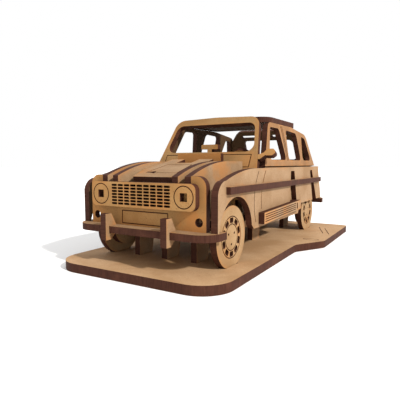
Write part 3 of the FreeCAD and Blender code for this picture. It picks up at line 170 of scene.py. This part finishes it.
def board(name, axis, middle, half, tone, scorch, stains, warmth, shade_facing, seed):
    """Laser-cut fibreboard: pale sheet faces, burnt edges, dark engraved lines.

    middle and half are the sheet's place along its axis and half its thickness; tone multiplies
    the colour of the sheet; stains are (centre, radius, strength) of the brown smoke marks on it;
    inner is the direction that faces given near-black painted shade look in, or None.
    """
    g = Graph(name)
    axis = Vector(axis).normalized()
    place = g.vector("ADD", g.place, (seed, seed * 0.7, seed * 1.3))
    across = g.vector("DOT_PRODUCT", g.place, axis)
    facing = g.math("ABSOLUTE", g.vector("DOT_PRODUCT", g.normal, axis))
    is_face = g.step(facing, 0.80, 0.90)
    depth = g.math("ABSOLUTE", g.math("SUBTRACT", across, middle))
    on_top = g.step(depth, half - GROOVE_FLOOR, half - SHEET_SKIN)
    pale = g.math("MULTIPLY", is_face, on_top)

    # fibres of the sheet face
    cloud = g.noise(place, CLOUD, 3.0, 0.55)
    patch = g.noise(place, PATCH, 4.0, 0.6)
    fibre_place = g.vector("MULTIPLY", place, (1.0, 0.35, 0.8))
    fibre = g.noise(fibre_place, FIBRES, 4.0, 0.7, 0.6)
    speck = g.noise(place, SPECKS, 2.0, 0.5)
    face = g.mix(g.step(cloud, 0.35, 0.68), BOARD_LIGHT, BOARD_DARK)
    face = g.mix(g.math("MULTIPLY", g.step(patch, 0.40, 0.75), 0.35), face, BOARD_DARK)
    face = g.mix(g.math("MULTIPLY", g.step(fibre, 0.35, 0.75), 0.45), face, FIBRE)
    face = g.mix(g.math("MULTIPLY", g.step(speck, 0.62, 0.74), 0.6), face, SPECK)
    face = g.mix(1.0, face, tone, "MULTIPLY")
    face = g.mix(warmth, face, SCORCH)

    # orange haze along the cut, from how near the edge is inside the sheet
    near = g.node("ShaderNodeAmbientOcclusion", samples=6, inside=True, only_local=True)
    near.inputs["Distance"].default_value = HAZE_REACH
    edge_haze = g.step(near.outputs["AO"], 0.98, 0.45)
    wander = g.noise(place, HAZE_WANDER, 2.0, 0.5)
    haze = g.math("MULTIPLY", edge_haze, g.step(wander, 0.38, 0.66))
    face = g.mix(g.math("MULTIPLY", haze, scorch), face, SCORCH)

    smoke = g.noise(place, SMOKE, 5.0, 0.7, 0.5)
    for centre, radius, strength in stains:
        far = g.vector("DISTANCE", g.place, Vector(centre))
        drift = g.math("MULTIPLY", g.math("SUBTRACT", smoke, 0.5), radius * 2.4)
        ragged = g.math("ADD", far, drift)
        spot = g.math("MULTIPLY", g.step(ragged, radius * 1.25, 0.0), strength)
        face = g.mix(spot, face, SCORCH)
    # painted shade: faces looking into the cabin are made near-black
    if shade_facing is not None:
        in_painted_shade = g.step(g.vector("DOT_PRODUCT", g.normal, shade_facing), 0.3, 0.6)
        face = g.mix(g.math("MULTIPLY", in_painted_shade, 0.88), face, INSIDE_SHADE)

    # edges: charred, with the beam's fine strokes across the thickness
    strokes = g.noise(g.stretched(place, axis, across, 0.93), STROKES, 3.0, 0.6)
    burn = g.noise(place, BURN, 3.0, 0.6)
    edge = g.mix(g.step(strokes, 0.20, 0.80), CHAR_DARK, CHAR_LIGHT)
    edge = g.mix(g.math("MULTIPLY", g.step(burn, 0.45, 0.75), 0.5), edge, CHAR_PATCH)
    edge = g.mix(is_face, edge, GROOVE)

    colour = g.mix(pale, edge, face)
    rough = g.blend(pale, 0.62, g.blend(fibre, 0.70, 0.86))
    height = g.blend(pale, g.math("MULTIPLY", strokes, 0.5), g.math("MULTIPLY", fibre, 0.55))
    return g.finish(colour, rough, height, BOARD_BUMP, g.blend(pale, 0.06, 0.16))


def rod_wood(name, axis):
    """Round dowel: long pale grain, darker end grain."""
    g = Graph(name)
    axis = Vector(axis).normalized()
    along = g.vector("DOT_PRODUCT", g.place, axis)
    grain = g.noise(g.stretched(g.place, axis, along, 0.95), DOWEL_GRAIN, 4.0, 0.65)
    ends = g.step(g.math("ABSOLUTE", g.vector("DOT_PRODUCT", g.normal, axis)), 0.8, 0.9)
    colour = g.mix(g.step(grain, 0.35, 0.7), DOWEL_LIGHT, DOWEL_DARK)
    colour = g.mix(g.math("MULTIPLY", ends, 0.7), colour, DOWEL_END)
    return g.finish(colour, g.blend(grain, 0.55, 0.75), grain, DOWEL_BUMP)


def paint(node, material):
    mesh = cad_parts[node].data
    mesh.materials.clear()
    mesh.materials.append(material)


def low(node):
    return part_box(node)[0]


def high(node):
    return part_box(node)[1]


AXES = {
    "X": Vector((1, 0, 0)),
    "Y": Vector((0, 1, 0)),
    "Z": Vector((0, 0, 1)),
}


TILTED = ("windscreen_frame", "door_mirror", "window_panel_left", "window_panel_right", "tail_frame",
          "tailgate", "bonnet_panel", "steering_wheel")


def across_plate(node):
    """The unit vector across a plate."""
    if node not in TILTED:
        size = high(node) - low(node)
        return AXES["XYZ"[min(range(3), key=lambda k: size[k])]]
    total = {}
    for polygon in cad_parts[node].data.polygons:
        normal = polygon.normal
        key = max(range(3), key=lambda k: abs(normal[k]))
        facing = normal if normal[key] > 0 else -normal
        rounded = tuple(round(value, 2) for value in facing)
        entry = total.setdefault(rounded, [0.0, Vector((0, 0, 0))])
        entry[0] += polygon.area
        entry[1] += facing * polygon.area
    best = max(total.values(), key=lambda entry: entry[0])
    return best[1].normalized()


COLUMN_TILT = math.radians(28)
RODS = {
    "front_axle": AXES["X"],
    "rear_axle": AXES["X"],
    "steering_column": Vector((0, math.cos(COLUMN_TILT), math.sin(COLUMN_TILT))),
}
# share of the orange colour mixed evenly over a whole piece, and strength of the haze where it isn't
# the usual one
WARM = {"cowl_plate": 0.75, "front_panel": 0.10}
SCORCHED = {"base_plate": 0.15, "side_panel_left": 0.40, "side_panel_right": 0.40}
# colours that multiply a sheet's own; the front and side ones are painted shade on front-facing plates
# and painted sunlight on side plates
TONE_SIDE_SUNLIT = (0.57, 0.58, 0.66)
TONE_GLASS = (0.52, 0.45, 0.43)
TONE_FRONT_SHADE = (0.68, 0.60, 0.45)
TONE_SCREEN = (0.54, 0.50, 0.41)
TONE_BASE = (0.82, 0.83, 0.92)
TONE_WHEEL = (0.63, 0.64, 0.66)


def tone_of(node, axis):
    """Colour that multiplies a piece's sheet: a tone of its own for some pieces, otherwise painted
    shade on front-facing plates and painted sunlight on side plates.
    """
    if node == "base_plate":
        return TONE_BASE
    if node == "windscreen_frame":
        return TONE_SCREEN
    if node.startswith("window_panel"):
        return TONE_GLASS
    if node.startswith("wheel"):
        return TONE_WHEEL
    # painted shade on front-facing plates, painted sunlight on side plates
    return TONE_FRONT_SHADE if abs(axis.y) > 0.5 else TONE_SIDE_SUNLIT


def painted_shade_side(node):
    """Direction that the faces given near-black painted shade on a cabin piece look in, if it has one.
    """
    if node.startswith(("window_panel", "side_liner", "side_panel")):
        return Vector((-1, 0, 0)) if low(node).x > 0 else Vector((1, 0, 0))
    return {"windscreen_frame": AXES["Y"], "roof_panel": -AXES["Z"], "tail_frame": -AXES["Y"],
            "tailgate": -AXES["Y"], "front_panel": AXES["Y"]}.get(node)


def stains_for(node):
    """Smoke marks, placed from each piece's own box: (place, radius in mm, strength)."""
    a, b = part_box(node)

    def beside(corner, x, y, z):
        return corner[0] + x * MM, corner[1] + y * MM, corner[2] + z * MM

    marks = {
        "front_panel": [(beside((b.x, a.y, a.z), -4, 0, 3), 9, 0.75),
                        (beside((b.x, a.y, a.z), -10, 0, 6), 7, 0.35),
                        (beside(a, 3, 0, 4), 6, 0.4)],
        "bonnet_rib_outer": [(beside((b.x, a.y, b.z), 0, 26, -3), 9, 0.7),
                             (beside((b.x, a.y, b.z), 0, 8, -5), 7, 0.5)],
        "bonnet_panel": [(beside(a, 2, 9, 2), 8, 0.6), ((0, b.y, b.z), 8, 0.5)],
        "windscreen_frame": [(beside((b.x, a.y, a.z), -7, 2, 5), 9, 0.45)],
        "running_board_left": [(beside((b.x, a.y, a.z), 0, 8, 3), 9, 0.5)],
    }
    return [(place, radius * MM, strength) for name, row in marks.items() if node.startswith(name)
            for place, radius, strength in row]


for index, node in enumerate(sorted(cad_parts)):
    if node in RODS:
        paint(node, rod_wood("dowel_" + node, RODS[node]))
        continue
    axis = across_plate(node)
    middle, half = plate_span(node, axis)
    paint(node, board("board_" + node, axis, middle, half, tone_of(node, axis),
                      SCORCHED.get(node, USUAL_SCORCH), stains_for(node), WARM.get(node, 0.0),
                      painted_shade_side(node), index * SEED_STEP))

# ---------------------------------------------------------------- floor
floor_mesh = bpy.data.meshes.new("floor")
FLOOR_REACH = 4.0
FLOOR_DROP = 0.1 * MM    # keeps the floor clear of the base's underside
corners = [(x * FLOOR_REACH, y * FLOOR_REACH, 0) for x, y in ((-1, -1), (1, -1), (1, 1), (-1, 1))]
floor_mesh.from_pydata(corners, [], [(0, 1, 2, 3)])
floor = bpy.data.objects.new("floor", floor_mesh)
bpy.context.scene.collection.objects.link(floor)
floor.location.z = -FLOOR_DROP
g = Graph("floor_paper")
paper = g.mix(g.noise(g.place, PAPER_CLOUD, 2.0), PAPER_DARK, PAPER_LIGHT)
floor_mesh.materials.append(g.finish(paper, 0.85, g.noise(g.place, PAPER_GRAIN), PAPER_BUMP, 0.1))

# ---------------------------------------------------------------- light
SUN_FROM = Vector((1.38, -0.33, 1.0))
SUN_STRENGTH = 4.0
SUN_SPREAD = 3.0         # degrees
SKY_STRENGTH = 1.0
sun_data = bpy.data.lights.new("window", "SUN")
sun_data.energy = SUN_STRENGTH
sun_data.angle = math.radians(SUN_SPREAD)
sun_data.color = (1.0, 0.97, 0.92)
sun = bpy.data.objects.new("window", sun_data)
sun.rotation_euler = SUN_FROM.to_track_quat("Z", "Y").to_euler()
bpy.context.scene.collection.objects.link(sun)

world = bpy.data.worlds.new("studio")
world.use_nodes = True
sky = world.node_tree.nodes["Background"]
sky.inputs["Color"].default_value = (1.0, 1.0, 1.0, 1.0)
sky.inputs["Strength"].default_value = SKY_STRENGTH
bpy.context.scene.world = world

# ---------------------------------------------------------------- camera
CAMERA_LEFT = 106.7 * MM     # of the car's middle plane
CAMERA_AHEAD = 150.5 * MM    # of the front axle
CAMERA_UP = 44.1 * MM        # over the base's top
CAMERA_PITCH = 84.73         # degrees from straight down
CAMERA_YAW = 30.86
FRONT_AXLE_Y = (low("front_axle").y + high("front_axle").y) / 2
BASE_TOP = high("base_plate").z
camera_data = bpy.data.cameras.new("camera")
camera_data.sensor_width = 36.0
camera_data.lens = 35.36
camera_data.clip_start = 0.01
camera_data.clip_end = 20.0
camera = bpy.data.objects.new("camera", camera_data)
camera.location = (CAMERA_LEFT, FRONT_AXLE_Y - CAMERA_AHEAD, BASE_TOP + CAMERA_UP)
camera.rotation_euler = (math.radians(CAMERA_PITCH), 0, math.radians(CAMERA_YAW))
bpy.context.scene.collection.objects.link(camera)
bpy.context.scene.camera = camera
bpy.context.scene.view_settings.view_transform = "Standard"
